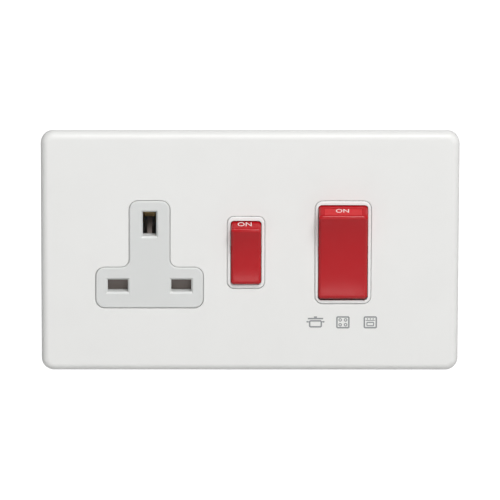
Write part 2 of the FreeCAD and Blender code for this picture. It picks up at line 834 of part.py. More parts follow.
def plunger(name, x, ball, reach):
    """Round-nosed pin that slides in the rocker's tube and bears on the blade."""
    body = new_body(name)
    zero = as_size(0.0)
    sketch = new_sketch(body, "YZ_Plane", zero)
    # half section about the Y axis, the sketch's x axis: a rod whose tapered nose keeps within a ball
    nose = d.nose_angle
    tip = reach + ball * cosine(nose)
    draw_polygon(
        sketch, [(d.plunger_seat, zero), (d.plunger_seat, ball), (reach, ball), (tip, ball * sine(nose)), (tip, zero)]
    )
    turned = body.newObject("PartDesign::Revolution", f"{name}_turned")
    turned.Profile = sketch
    turned.ReferenceAxis = (sketch, ["H_Axis"])
    turned.Angle = 360
    bind(body, "Placement.Base.x", x)
    bind(body, "Placement.Base.y", -d.rocker_pivot)
    turn_about_x(body, d.rocker_tilt)


def coil_spring(name, radius, wire, start, end, turns, place):
    """A coil spring along its own Z axis: six-sided wire sections around a helix, joined by straight faces."""
    steps_per_turn = 8
    sides = 4
    sections = []
    for step in range(turns * steps_per_turn + 1):
        turned = 2 * math.pi * step / steps_per_turn
        rise = start + (end - start) * step / (turns * steps_per_turn)
        corners = []
        for side in range(sides + 1):
            spin = 2 * math.pi * side / sides
            out = radius + wire / 2 * math.cos(spin)
            up = rise + wire / 2 * math.sin(spin)
            corners.append(FreeCAD.Vector(out * math.cos(turned), out * math.sin(turned), up))
        sections.append(Part.makePolygon(corners))
    spring = doc.addObject("Part::Feature", name)
    spring.Label = name
    spring.Shape = Part.makeLoft(sections, True, True)
    spring.Placement = place
    SUBPARTS.append(spring)


def plunger_spring(name, x, ball, edge_out, dish):
    """Spring between the closed front end of the rocker's tube and the plunger."""
    front = sprung_front(edge_out, dish).value
    rear = d.plunger_seat.value
    wire = d.spring_wire.value
    radius = ball.value - wire
    end_room = wire / 2 + d.touch_gap.value
    turns = int(d.plunger_turns.value)
    # the spring's own Z axis points into the wall and turns with the rocker
    tilt = FreeCAD.Rotation(FreeCAD.Vector(1, 0, 0), d.rocker_tilt.value)
    lay = FreeCAD.Rotation(FreeCAD.Vector(1, 0, 0), -90)
    place = FreeCAD.Placement(FreeCAD.Vector(as_size(x).value, -d.rocker_pivot.value, 0), tilt * lay)
    coil_spring(name, radius, wire, end_room - front, rear - end_room, turns, place)


def blade_axis(reach, ball, thick):
    """Level of the line that a blade rocks on: behind the plunger's nose by the blade's thickness."""
    return d.rocker_pivot - reach - ball - thick - d.ball_gap


def blade(name, x, reach, ball, thick, width, arm):
    """Moving contact: a copper strip that rocks on its fulcrum, with a silver rivet at its upper end."""
    body = new_body(name)
    zero = as_size(0.0)
    half = width / 2
    # about its own rocking line: the strip is in front of it, the rivet goes through at the upper end
    add(body, [box_corners(-half, half, -arm - d.blade_tail, arm + d.contact_radius)], zero, thick)
    add(body, [eight_sided(zero, arm, d.contact_radius)], -d.contact_thick, zero)
    bind(body, "Placement.Base.x", x)
    bind(body, "Placement.Base.y", -blade_axis(reach, ball, thick))
    turn_about_x(body, -d.blade_tilt)


def fulcrum_profile(axis_level, reach_down):
    """Side view of a folded strap: a knife edge at the rocking line and a foot on the floor, towards -Z."""
    half = d.link_thick / 2
    top = -(axis_level - 3 * d.touch_gap)
    return [
        (-floor_front, half),
        (top + half, half),
        (top, as_size(0.0)),
        (top + half, -half),
        (-link_front, -half),
        (-link_front, -reach_down),
        (-floor_front, -reach_down),
    ]


def contact_level(axis_level, arm):
    """Level of a fixed contact's front face: just behind the blade's rivet when the switch is on."""
    swing = (arm + d.contact_radius) * sine(d.blade_tilt)
    return axis_level - swing - d.contact_thick * cosine(d.blade_tilt) - 2 * d.touch_gap


def fixed_contact_profile(level, arm, reach_up):
    """Side view of a folded strap: a raised contact seat above a foot on the floor, towards +Z."""
    seat_low, seat_high = arm - d.contact_radius, arm + d.contact_radius + d.link_thick
    return [
        (-level, seat_low),
        (-level, seat_high),
        (-link_front, seat_high),
        (-link_front, reach_up),
        (-floor_front, reach_up),
        (-floor_front, seat_high - d.link_thick),
        (-level + d.link_thick, seat_high - d.link_thick),
        (-level + d.link_thick, seat_low),
    ]


def cooker_pole(pole, x, block_x):
    """One pole of the cooker switch: plunger, spring, blade, fulcrum strap, fixed contact strap and two blocks."""
    plunger(f"{pole}_plunger", x, d.large_ball, d.large_reach)
    plunger_spring(f"{pole}_spring", x, d.large_ball, d.large_edge_out, d.large_dish)
    blade(f"{pole}_blade", x, d.large_reach, d.large_ball, d.large_blade_thick, d.large_blade_width, d.large_arm)
    axis_level = blade_axis(d.large_reach, d.large_ball, d.large_blade_thick)
    side = x.value < d.large_x.value
    half = d.large_blade_width / 2
    left = block_x - d.block_width / 4 if side else x - half
    right = x + half if side else block_x + d.block_width / 4
    feed = new_body(f"{pole}_fulcrum")
    add(feed, [fulcrum_profile(axis_level, strap_end)], left, right, plane="YZ_Plane")
    load = new_body(f"{pole}_fixed_contact")
    profile = fixed_contact_profile(contact_level(axis_level, d.large_arm), d.large_arm, strap_end)
    add(load, [profile], left, right, plane="YZ_Plane")
    terminal_block(f"{pole}_feed_terminal", block_x, -1, d.block_width)
    terminal_block(f"{pole}_load_terminal", block_x, 1, d.block_width)


def terminal_block(name, x, up, width):
    """Brass pillar terminal: a block with a cable bore along Z and a clamp screw hole from behind."""
    body = new_body(name)
    row = up * block_row
    add(body, [centred_corners(x, row, width, d.block_height)], link_front, block_front)
    doc.recompute()
    half = d.block_height / 2
    bore = ("disc", x, -cable_level, d.cable_hole / 2)
    cut(body, [bore], row - half, row + half, plane="XY_Plane")
    cut(body, [eight_sided(x, row, d.clamp_screw / 2 + d.touch_gap)], link_front, cable_level)


def socket_pole():
    """The socket's switched pole: plunger, spring and blade, the line bus that feeds it and the link it feeds."""
    plunger("socket_plunger", d.small_x, d.small_ball, d.small_reach)
    plunger_spring("socket_spring", d.small_x, d.small_ball, d.small_edge_out, d.small_dish)
    blade("socket_blade", d.small_x, d.small_reach, d.small_ball, d.small_blade_thick, d.small_blade_width, d.small_arm)
    axis_level = blade_axis(d.small_reach, d.small_ball, d.small_blade_thick)
    half = d.small_blade_width / 2
    bus_low, bus_high = line_bus_row()
    bus = new_body("line_bus")
    add(bus, [fulcrum_profile(axis_level, -bus_low)], d.small_x - half, d.small_x + half, plane="YZ_Plane")
    bus_right = line_block_x - d.block_width / 4 - d.touch_gap
    add(bus, [box_corners(d.small_x, bus_right, bus_low, bus_high)], floor_front, link_front)
    link = new_body("line_link")
    seat_top = d.small_arm + d.contact_radius + d.link_thick
    link_top = seat_top + d.link_width
    profile = fixed_contact_profile(contact_level(axis_level, d.small_arm), d.small_arm, link_top)
    add(link, [profile], d.small_x - half, d.small_x + half, plane="YZ_Plane")
    turn_x = line_x + d.clip_long / 2
    link_outline = [
        (d.small_x, seat_top),
        (d.small_x, link_top),
        (turn_x, link_top),
        (turn_x, d.line_row + clip_half()),
        (line_x - d.clip_long / 2, d.line_row + clip_half()),
        (line_x - d.clip_long / 2, d.line_row - clip_half()),
        (turn_x + d.link_width, d.line_row - clip_half()),
        (turn_x + d.link_width, seat_top),
    ]
    add(link, [link_outline], floor_front, link_front)


def clip_half():
    """Half the outer height of a line or neutral clip."""
    return d.pin_high / 2 - d.clip_squeeze + d.clip_strip


def line_bus_row():
    """Lower and upper edge of the line bus, which runs just above the socket switch's lower screw post."""
    low = -d.small_flange_half + d.screw_inset + d.screw_post / 2 + d.fit_gap
    return low, low + d.link_width


def neutral_bus_row():
    """Lower and upper edge of the neutral bus, which runs between the terminals and the base's lower wall."""
    low = -cavity_half + d.fit_gap
    return low, low + d.return_width


def clip_profile(pin, mouth_level):
    """Side view of a folded clip: two leaves, flared at the mouth, on a web behind the pin's tip."""
    inner = pin / 2 - d.clip_squeeze
    outer = inner + d.clip_strip
    mouth = -mouth_level
    throat = mouth + d.clip_lead
    web = -link_front - d.clip_strip
    rear = -link_front
    return [
        (mouth, outer + d.clip_flare),
        (throat, outer),
        (rear, outer),
        (rear, -outer),
        (throat, -outer),
        (mouth, -outer - d.clip_flare),
        (mouth, -inner - d.clip_flare),
        (throat, -inner),
        (web, -inner),
        (web, inner),
        (throat, inner),
        (mouth, inner + d.clip_flare),
    ]


def socket_contacts():
    """Sprung clips for the three pins, and the bars on the base's floor that they stand on."""
    for name, x in (("line_contact", line_x), ("neutral_contact", neutral_x)):
        body = new_body(name)
        profile = [(y, z + d.line_row) for y, z in clip_profile(d.pin_high, shutter_rear - d.mouth_room)]
        add(body, [profile], x - d.clip_long / 2, x + d.clip_long / 2, plane="YZ_Plane")
    body = new_body("earth_contact")
    # seen from above, so its sketch has X and Y: the profile's two coordinates change places
    mouth_level = shutter_rear - d.mouth_room - d.cam_depth - d.fit_gap
    profile = [(d.socket_x + x, y) for y, x in clip_profile(d.earth_pin_wide, mouth_level)]
    add(body, [profile], earth_row - d.clip_long / 2, earth_row + d.clip_long / 2, plane="XY_Plane")
    neutral = new_body("neutral_bus")
    low, high = neutral_bus_row()
    half = d.clip_long / 2
    bus_end = neutral_block_x + d.block_width / 4
    outline = [
        (neutral_x - half, low),
        (bus_end, low),
        (bus_end, -block_end - d.touch_gap),
        (bus_end - d.block_width / 2, -block_end - d.touch_gap),
        (bus_end - d.block_width / 2, high),
        (neutral_x + half, high),
        (neutral_x + half, d.line_row + clip_half()),
        (neutral_x - half, d.line_row + clip_half()),
    ]
    add(neutral, [outline], floor_front, link_front)
    earth = new_body("earth_link")
    width = d.earth_pin_wide - 2 * d.clip_squeeze + 2 * d.clip_strip
    add(
        earth,
        [box_corners(d.socket_x - width / 2, d.socket_x + width / 2, earth_row - half, strap_end)],
        floor_front,
        link_front,
    )
    terminal_block("earth_terminal", d.socket_x, 1, d.earth_block_width)


def shutter():
    """One moulding: a plate that blanks the lower slots, an arm, and a ramp that the earth pin pushes down."""
    body = new_body("shutter")
    gap = d.fit_gap
    low = d.line_row - d.slot_height / 2 - d.shutter_lap
    window_low = d.line_row + d.slot_height / 2 + gap
    window_high = window_low + d.slot_height + 2 * gap
    plate_top = window_high + d.shutter_bar
    ramp_low = earth_row - d.earth_height / 2 + gap / 2
    ramp_high = ramp_low + d.shutter_travel
    arm_top = ramp_low - d.rail_wall
    half = d.shutter_width / 2
    add(body, [box_corners(d.socket_x - half, d.socket_x + half, low, plate_top)], shutter_rear, shutter_front)
    arm = d.cam_width / 2 + d.arm_wall
    add(body, [box_corners(d.socket_x - arm, d.socket_x + arm, plate_top, arm_top)], shutter_rear, shutter_front)
    cam_rear = d.cam_depth - shutter_front
    cam = [
        (-shutter_front, ramp_low),
        (cam_rear, ramp_high),
        (cam_rear, arm_top),
        (-shutter_rear, plate_top + d.cam_foot),
        (-shutter_front, plate_top + d.cam_foot),
    ]
    add(body, [cam], d.socket_x - d.cam_width / 2, d.socket_x + d.cam_width / 2, plane="YZ_Plane")
    window_half = d.slot_width / 2 + gap
    windows = [box_corners(x - window_half, x + window_half, window_low, window_high) for x in (neutral_x, line_x)]
    cut(body, windows, shutter_rear, shutter_front)
    notch_top = low + d.notch_deep
    notch = box_corners(d.socket_x - d.notch_half, d.socket_x + d.notch_half, low - d.cut_over, notch_top)
    cut(body, [notch], shutter_rear, shutter_front)
    wire = d.spring_wire.value
    end_room = wire / 2 + d.touch_gap.value
    spring_low = (d.face_flange_bottom + d.flange_seat + gap + d.skirt_wall).value + end_room
    spring_high = notch_top.value - end_room
    middle = (shutter_front + shutter_rear) / 2 - d.cable_offset
    place = FreeCAD.Placement(FreeCAD.Vector(d.socket_x.value, -middle.value, 0), FreeCAD.Rotation())
    turns = int(d.shutter_turns.value)
    coil_spring("shutter_spring", d.shutter_coil.value, wire, spring_low, spring_high, turns, place)


def rear_base():
    """Deep tray behind the wall: contact cells, partitions, screw posts, cable entries and screw holes."""
    body = new_body("rear_base")
    add(
        body,
        [box_corners(d.base_left, d.base_right, -d.base_half, d.base_half, d.base_corner)],
        base_rear,
        web_rear,
    )
    cut(body, [box_corners(cavity_left, cavity_right, -cavity_half, cavity_half)], floor_front, web_rear)
    wall = d.cell_wall
    partition = box_corners(partition_x, partition_x + wall, -cavity_half, cavity_half)
    pole_rib = box_corners(d.large_x - wall / 2, d.large_x + wall / 2, -cavity_half, cavity_half)
    add(body, [partition], floor_front, web_rear)
    add(body, [pole_rib], floor_front, d.rocker_pivot - d.large_reach)
    for x in (neutral_x, line_x):
        inner_width, inner_height = d.clip_long + 2 * d.fit_gap, 2 * clip_half() + 2 * d.clip_flare + 2 * d.fit_gap
        outer = centred_corners(x, d.line_row, inner_width + 2 * wall, inner_height + 2 * wall)
        inner = centred_corners(x, d.line_row, inner_width, inner_height)
        add(body, [outer, inner], floor_front, shutter_rear - d.fit_gap)
    earth_half = d.earth_pin_wide / 2 - d.clip_squeeze + d.clip_strip + d.clip_flare + d.fit_gap
    rib_offset = earth_half + wall / 2
    ribs = [centred_corners(d.socket_x + side * rib_offset, earth_row, wall, d.rib_height) for side in (-1, 1)]
    add(body, ribs, floor_front, shutter_front - d.cam_depth - d.rib_drop)
    posts = [centred_corners(x, z, d.screw_post, d.screw_post) for x, z in screw_places]
    add(body, posts, floor_front, d.boss_rear - d.touch_gap)
    cut(body, screw_holes(screw_places), base_rear, d.boss_rear)
    bus_low, bus_high = line_bus_row()
    gap = d.fit_gap
    link_slot = link_front + gap
    return_high = neutral_bus_row()[1] + gap
    cell_half = d.clip_long / 2 + gap
    cell_reach = clip_half() + d.clip_flare + gap
    notches = [
        box_corners(partition_x - gap, partition_x + wall + gap, bus_low - gap, bus_high + gap),
        box_corners(partition_x - gap, partition_x + wall + gap, -cavity_half, return_high),
        box_corners(d.large_x - wall, d.large_x + wall, -cavity_half, return_high),
        box_corners(
            neutral_x - cell_half, neutral_x + cell_half, d.line_row - cell_reach - wall - gap, d.line_row - cell_reach
        ),
        box_corners(
            line_x + cell_half - 2 * gap, line_x + cell_half + wall + gap,
            d.line_row - clip_half() - gap, d.line_row + cell_reach + wall + gap,
        ),
    ]
    cut(body, notches, floor_front, link_slot)
    entries = [(line_block_x, -1), (neutral_block_x, -1), (line_block_x, 1), (neutral_block_x, 1), (d.socket_x, 1)]
    for up in (-1, 1):
        windows = [
            centred_corners(x, -cable_level, d.cable_entry, d.cable_entry) for x, side in entries if side == up
        ]
        start = cavity_half if up == 1 else -d.base_half
        cut(body, windows, start, start + d.base_wall, plane="XY_Plane")
    access = d.clamp_screw + 2 * d.fit_gap
    cut(body, [centred_corners(x, up * block_row, access, access) for x, up in entries], base_rear, floor_front)
    return entries


def earth_strap():
    """Pressed brass strip on the web: an eyelet at each fixing hole, a run along the top and a tab to the terminal."""
    body = new_body("earth_strap")
    half = d.strap_width / 2
    reach = d.fixing_spacing / 2
    top, under = d.strap_run + half, d.strap_run - half
    front = d.web_front + d.strap_thick
    tab_half = d.tab_width / 2
    outline = [
        (-reach - half, as_size(0.0)),
        (-reach + half, as_size(0.0)),
        (-reach + half, under),
        (d.socket_x - tab_half, under),
        (d.socket_x - tab_half, d.tab_up),
        (d.socket_x + tab_half, d.tab_up),
        (d.socket_x + tab_half, under),
        (reach - half, under),
        (reach - half, as_size(0.0)),
        (reach + half, as_size(0.0)),
        (reach + half, top),
        (-reach - half, top),
    ]
    add(body, [outline], d.web_front, front)
    eyelets = [centred_corners(side * reach, as_size(0.0), d.eyelet_width, d.eyelet_width) for side in (-1, 1)]
    add(body, eyelets, d.web_front, front)
    tab = box_corners(d.socket_x - tab_half, d.socket_x + tab_half, d.tab_up, d.tab_up + d.strap_thick)
    add(body, [tab], block_front + d.touch_gap, front)
    holes = [("disc", side * reach, as_size(0.0), d.fixing_hole / 2) for side in (-1, 1)]
    cut(body, holes, d.web_front, front)


def upright(kind, name, radius, start, end, x, z):
    """A cylinder or prism along Y between two levels."""
    piece = doc.addObject(f"Part::{kind}", name)
    bind(piece, "Radius" if kind == "Cylinder" else "Circumradius", radius)
    bind(piece, "Height", as_size(end) - start)
    piece.Placement.Rotation = FreeCAD.Rotation(FreeCAD.Vector(1, 0, 0), 90)
    bind(piece, "Placement.Base.x", x)
    bind(piece, "Placement.Base.y", -as_size(start))
    bind(piece, "Placement.Base.z", z)
    return piece


def slot_bar(name, length, start, x, z):
    """A bar that cuts a driver slot across a screw's end, from the rear."""
    bar = doc.addObject("Part::Box", name)
    bind(bar, "Length", length)
    bind(bar, "Width", d.driver_depth)
    bind(bar, "Height", d.driver_slot)
    bind(bar, "Placement.Base.x", x - length / 2)
    bind(bar, "Placement.Base.y", -(as_size(start) + d.driver_depth))
    bind(bar, "Placement.Base.z", z - d.driver_slot / 2)
    return bar


def slotted(name, whole, bar):
    screw = doc.addObject("Part::Cut", name)
    screw.Base = whole
    screw.Tool = bar
    return screw


def grouped(name, pieces):
    group = doc.addObject("Part::Compound", name)
    group.Label = name
    group.Links = pieces
    SUBPARTS.append(group)


def screws(entries):
    """Clamp screws of the terminals, and the screws that hold the base and the front mouldings together."""
    clamps = []
    clamp_rear = base_rear + d.clamp_sunk
    for number, (x, up) in enumerate(entries):
        row = up * block_row
        end = cable_level - d.cable_hole / 2 - d.touch_gap
        shank = upright("Prism", f"clamp_shank_{number}", d.clamp_screw / 2, clamp_rear, end, x, row)
        shank.Polygon = 12
        bar = slot_bar(f"clamp_slot_{number}", 2 * d.clamp_screw, clamp_rear, x, row)
        clamps.append(slotted(f"clamp_screw_{number}", shank, bar))
    grouped("clamp_screws", clamps)
    fixings = []
    head_rear = base_rear - d.screw_head_thick
    for number, (x, z) in enumerate(screw_places):
        head = upright("Cylinder", f"screw_head_{number}", d.screw_head / 2, head_rear, base_rear, x, z)
        end = d.web_front - d.screw_stop
        shank = upright("Prism", f"screw_shank_{number}", d.screw_shank / 2, head_rear, end, x, z)
        shank.Polygon = 8
        bar = slot_bar(f"screw_slot_{number}", 2 * d.screw_head, head_rear, x, z)
        whole = doc.addObject("Part::Fuse", f"screw_whole_{number}")
        whole.Base = head
        whole.Tool = shank
        fixings.append(slotted(f"housing_screw_{number}", whole, bar))
    grouped("housing_screws", fixings)


def export():
    """Check every object and sub-part, then write one file for each sub-part."""
    doc.recompute()
    broken = [thing.Name for thing in doc.Objects if {"Invalid", "Error"} & set(thing.State)]
    if broken:
        raise RuntimeError(f"these objects failed: {broken}")
    os.makedirs("parts", exist_ok=True)
    for piece in SUBPARTS:
        if piece.Shape.isNull() or not piece.Shape.isValid():
            raise RuntimeError(f"{piece.Label} has no valid shape")
        piece.Shape.exportStep(f"parts/{piece.Label}.step")
        print(piece.Label, len(piece.Shape.Solids), round(piece.Shape.Volume, 1))


small_hole = (d.small_hole_width, d.small_hole_height)
large_hole = (d.large_hole_width, d.large_hole_height)
small_ring = (small_ring_width, small_ring_height, d.small_ring_round)
large_ring = (large_ring_width, large_ring_height, d.large_ring_round)
small_edge_up = d.small_hole_height / 2 - d.small_edge_in
large_edge_up = d.large_hole_height / 2 - d.large_edge_in

front_plate()
support_frame()
earth_strap()
socket_face()
switch_housing("socket_switch_housing", d.small_x, small_flange, small_ring, small_hole, small_screws)
switch_housing("cooker_switch_housing", d.large_x, large_flange, large_ring, large_hole, large_screws)
rocker(
    "socket_rocker", d.small_x, small_hole, d.small_edge_out, small_edge_up, d.small_dish, d.small_ball,
    [as_size(0.0)],
)
rocker(
    "cooker_rocker", d.large_x, large_hole, d.large_edge_out, large_edge_up, d.large_dish, d.large_ball,
    [-pole_offset, pole_offset],
)
shutter()
socket_pole()
socket_contacts()
cooker_pole("line", d.large_x - pole_offset, line_block_x)
cooker_pole("neutral", d.large_x + pole_offset, neutral_block_x)
terminal_places = rear_base()
screws(terminal_places)
export()
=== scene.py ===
"""Looks of the cooker control unit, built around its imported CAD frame.

The frame is in metres: the wall is the plane Y = 0, the room is on its -Y side, X runs right and Z up.
The part's own measures are written in millimetres and multiplied by MM where they are used.
"""

import json
import math

import bpy
from mathutils import Matrix, Vector

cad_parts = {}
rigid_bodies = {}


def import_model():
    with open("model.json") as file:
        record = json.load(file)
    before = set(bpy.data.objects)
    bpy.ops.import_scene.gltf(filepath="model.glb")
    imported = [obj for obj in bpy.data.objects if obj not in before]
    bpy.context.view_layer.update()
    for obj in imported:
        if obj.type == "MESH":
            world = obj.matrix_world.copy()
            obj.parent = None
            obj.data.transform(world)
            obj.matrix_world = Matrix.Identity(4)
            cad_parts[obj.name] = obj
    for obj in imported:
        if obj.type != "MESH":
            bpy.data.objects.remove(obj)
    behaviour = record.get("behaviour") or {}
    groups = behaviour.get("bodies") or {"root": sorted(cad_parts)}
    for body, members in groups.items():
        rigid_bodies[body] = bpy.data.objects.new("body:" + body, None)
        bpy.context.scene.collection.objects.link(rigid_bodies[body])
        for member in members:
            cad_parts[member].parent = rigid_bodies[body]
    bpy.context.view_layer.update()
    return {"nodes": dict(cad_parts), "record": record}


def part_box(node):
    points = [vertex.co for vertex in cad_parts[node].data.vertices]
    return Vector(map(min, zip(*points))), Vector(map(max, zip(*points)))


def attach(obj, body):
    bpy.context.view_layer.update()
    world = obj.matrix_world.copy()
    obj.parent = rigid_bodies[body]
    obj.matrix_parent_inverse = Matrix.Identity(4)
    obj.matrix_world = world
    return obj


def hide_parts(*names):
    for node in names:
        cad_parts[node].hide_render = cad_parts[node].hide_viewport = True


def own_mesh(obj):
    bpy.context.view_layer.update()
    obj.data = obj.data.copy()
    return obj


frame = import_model()

MM = 0.001


# Node helpers

# The mix node keeps a set of sockets for each kind of data. These are the ones for colours.
MIX_FACTOR = 0
MIX_FIRST = 6
MIX_SECOND = 7
MIX_RESULT = 2

# What part of a source's range is spread over the values that it drives.
NOISE_BAND = (0.3, 0.7)
PEEL_BAND = (0.35, 0.65)
NO_TO_YES = (0.0, 1.0)


def shade(colour, factor):
    return tuple(channel * factor for channel in colour)


class Nodes:
    """The node tree of a material or a world, with one call for each kind of node."""

    def __init__(self, owner, output_kind="ShaderNodeOutputMaterial"):
        owner.use_nodes = True
        self.owner = owner
        self.tree = owner.node_tree
        self.tree.nodes.clear()
        self.output = self.add(output_kind)

    def add(self, kind, **settings):
        node = self.tree.nodes.new(kind)
        for key, value in settings.items():
            setattr(node, key, value)
        return node

    def link(self, source, target):
        self.tree.links.new(source, target)

    def place(self):
        """Where a point lies in its object's frame, in metres."""
        return self.add("ShaderNodeTexCoord").outputs["Object"]

    def drawn_place(self, stretch):
        """The same with Z scaled, so that a noise over it is drawn out along Z."""
        mapping = self.add("ShaderNodeMapping")
        mapping.inputs["Scale"].default_value = (1.0, 1.0, stretch)
        self.link(self.place(), mapping.inputs["Vector"])
        return mapping.outputs["Vector"]

    def noise(self, place, scale, detail, roughness=0.5):
        """Noise with the given number of waves to a metre."""
        node = self.add("ShaderNodeTexNoise")
        node.inputs["Scale"].default_value = scale
        node.inputs["Detail"].default_value = detail
        node.inputs["Roughness"].default_value = roughness
        self.link(place, node.inputs["Vector"])
        return node.outputs["Fac"]

    def span(self, source, band, low, high):
        """A value that runs from low to high as the source runs through the band."""
        node = self.add("ShaderNodeMapRange")
        node.inputs["From Min"].default_value = band[0]
        node.inputs["From Max"].default_value = band[1]
        node.inputs["To Min"].default_value = low
        node.inputs["To Max"].default_value = high
        self.link(source, node.inputs["Value"])
        return node.outputs["Result"]

    def tint(self, source, colour, darker):
        """The colour, mottled down to a darker share of itself by a noise."""
        mix = self.add("ShaderNodeMix", data_type="RGBA")
        mix.inputs[MIX_FIRST].default_value = (*shade(colour, darker), 1.0)
        mix.inputs[MIX_SECOND].default_value = (*colour, 1.0)
        self.link(self.span(source, NOISE_BAND, 0.0, 1.0), mix.inputs[MIX_FACTOR])
        return mix.outputs[MIX_RESULT]

    def bump(self, height, strength, depth):
        node = self.add("ShaderNodeBump")
        node.inputs["Strength"].default_value = strength
        node.inputs["Distance"].default_value = depth * MM
        self.link(height, node.inputs["Height"])
        return node.outputs["Normal"]

    def surface(self, linked, **plain):
        """The principled shader, with some sockets linked to nodes and others set to plain values."""
        shader = self.add("ShaderNodeBsdfPrincipled")
        for socket, source in linked.items():
            self.link(source, shader.inputs[socket])
        for socket, value in plain.items():
            shader.inputs[socket.replace("_", " ")].default_value = value
        self.link(shader.outputs["BSDF"], self.output.inputs["Surface"])
        return self.owner

    def background_ray(self):
        """1 on a ray that shows the background: from the camera, in a reflection or through glass."""
        path = self.add("ShaderNodeLightPath")
        seen = path.outputs["Is Camera Ray"]
        for kind in ("Is Glossy Ray", "Is Transmission Ray"):
            either = self.add("ShaderNodeMath", operation="MAXIMUM")
            self.link(seen, either.inputs[0])
            self.link(path.outputs[kind], either.inputs[1])
            seen = either.outputs[0]
        return seen


# Materials


def moulded(name, colour, roughness, specular=0.5, darker=0.97):
    """Moulded plastic: a fine spark-eroded grain, slight cloudiness and an uneven sheen."""
    nodes = Nodes(bpy.data.materials.new(name))
    cloud = nodes.noise(nodes.place(), scale=45.0, detail=3.0)
    grain = nodes.noise(nodes.place(), scale=900.0, detail=2.0, roughness=0.6)
    linked = {
        "Base Color": nodes.tint(cloud, colour, darker),
        "Roughness": nodes.span(grain, NOISE_BAND, low=roughness - 0.04, high=roughness + 0.05),
        "Normal": nodes.bump(grain, strength=0.12, depth=0.02),
    }
    return nodes.surface(linked, Specular_IOR_Level=specular)


def painted(name, colour, roughness, specular):
    """Powder-coated metal: an orange-peel skin over a faintly mottled colour."""
    nodes = Nodes(bpy.data.materials.new(name))
    peel = nodes.noise(nodes.place(), scale=620.0, detail=2.0, roughness=0.45)
    broad = nodes.noise(nodes.place(), scale=60.0, detail=3.0)
    linked = {
        "Base Color": nodes.tint(broad, colour, darker=0.985),
        "Roughness": nodes.span(peel, PEEL_BAND, low=roughness - 0.02, high=roughness + 0.03),
        "Normal": nodes.bump(peel, strength=0.12, depth=0.03),
    }
    return nodes.surface(linked, Specular_IOR_Level=specular)


def bare_metal(name, colour, roughness, stretch=1.0):
    """Rolled strip or turned metal with fine drawing marks and a little dullness."""
    nodes = Nodes(bpy.data.materials.new(name))
    marks = nodes.noise(nodes.drawn_place(stretch), scale=1400.0, detail=2.0)
    dull = nodes.noise(nodes.place(), scale=160.0, detail=4.0)
    linked = {
        "Base Color": nodes.tint(dull, colour, darker=0.92),
        "Roughness": nodes.span(marks, NOISE_BAND, low=roughness - 0.04, high=roughness + 0.06),
        "Normal": nodes.bump(marks, strength=0.1, depth=0.01),
    }
    return nodes.surface(linked, Metallic=1.0)


def printed(name, colour, roughness):
    """Pad-printed ink: almost flat, with a slightly uneven film."""
    nodes = Nodes(bpy.data.materials.new(name))
    film = nodes.noise(nodes.place(), scale=1600.0, detail=2.0)
    return nodes.surface({"Base Color": nodes.tint(film, colour, darker=0.94)}, Roughness=roughness)


SATIN = 0.28
RED_COLOUR = (0.445, 0.003, 0.008)
PANEL_BRIGHTER = 1.22

PANEL_RED = moulded("panel_red", shade(RED_COLOUR, PANEL_BRIGHTER), roughness=0.36, darker=0.96)
LEGEND_GREY = printed("legend_grey", (0.25, 0.26, 0.265), roughness=0.45)
LEGEND_WHITE = printed("legend_white", (0.80, 0.72, 0.70), roughness=0.45)

# The finish of each material slot in the record.
SLOT_LOOK = {
    "cover_white": painted("white_cover", (0.80, 0.80, 0.785), roughness=0.3, specular=SATIN),
    "white_moulding": moulded("white_face", (0.68, 0.69, 0.68), roughness=0.32, specular=SATIN),
    "ring_white": moulded("white_ring", (0.82, 0.82, 0.81), roughness=0.28, specular=SATIN),
    "rocker_red": moulded("signal_red", RED_COLOUR, roughness=0.19, specular=0.24, darker=0.95),
    "carrier_grey": moulded("carrier_grey", (0.50, 0.50, 0.49), roughness=0.5),
    # Painted shade: the shutters, seen deep in their slots, get a dark brownish grey that stands in for
    # the shade there.
    "shutter_grey": moulded("shutter_painted_shade", (0.145, 0.115, 0.102), roughness=0.45),
    "base_white": moulded("base_white", (0.66, 0.66, 0.64), roughness=0.45),
    "plunger_white": moulded("plunger_white", (0.72, 0.72, 0.68), roughness=0.4),
    "copper_strip": bare_metal("copper_strip", (0.72, 0.38, 0.22), roughness=0.32),
    "brass_clip": bare_metal("brass_strip", (0.78, 0.56, 0.26), roughness=0.3, stretch=0.2),
    "steel_zinc": bare_metal("zinc_steel", (0.62, 0.62, 0.60), roughness=0.28),
}


# Finish and edges of the CAD nodes

# The rockers turn about an axis this far in front of the wall, and are tilted at rest.
PIVOT_LEVEL = 0.9
TILT = math.radians(7.5)

# Each rocker's end facet in its untilted side view, as (out, up) from the pivot. The first point is the
# ridge, where the facet meets the dished face, and the second is the facet's far end.
FACETS = {
    "socket_rocker": ((7.1, 10.25), (2.04, 11.58)),
    "cooker_rocker": ((7.75, 15.35), (3.0, 16.98)),
}
RIDGE_TOLERANCE = 0.05
RIDGE_ROUNDING = 1.2
RIDGE_SEGMENTS = 7

# The nodes that face the room have long flat sides, which are joined up before their edges are softened.
FACING = ("front_plate", "socket_face", "socket_switch_housing", "cooker_switch_housing", *FACETS)
FLAT_ANGLE = math.radians(0.3)
WELD_REACH = 0.002
SOFT_EDGE = 0.12
SOFT_SEGMENTS = 2
SHARP_ANGLE = math.radians(40.0)


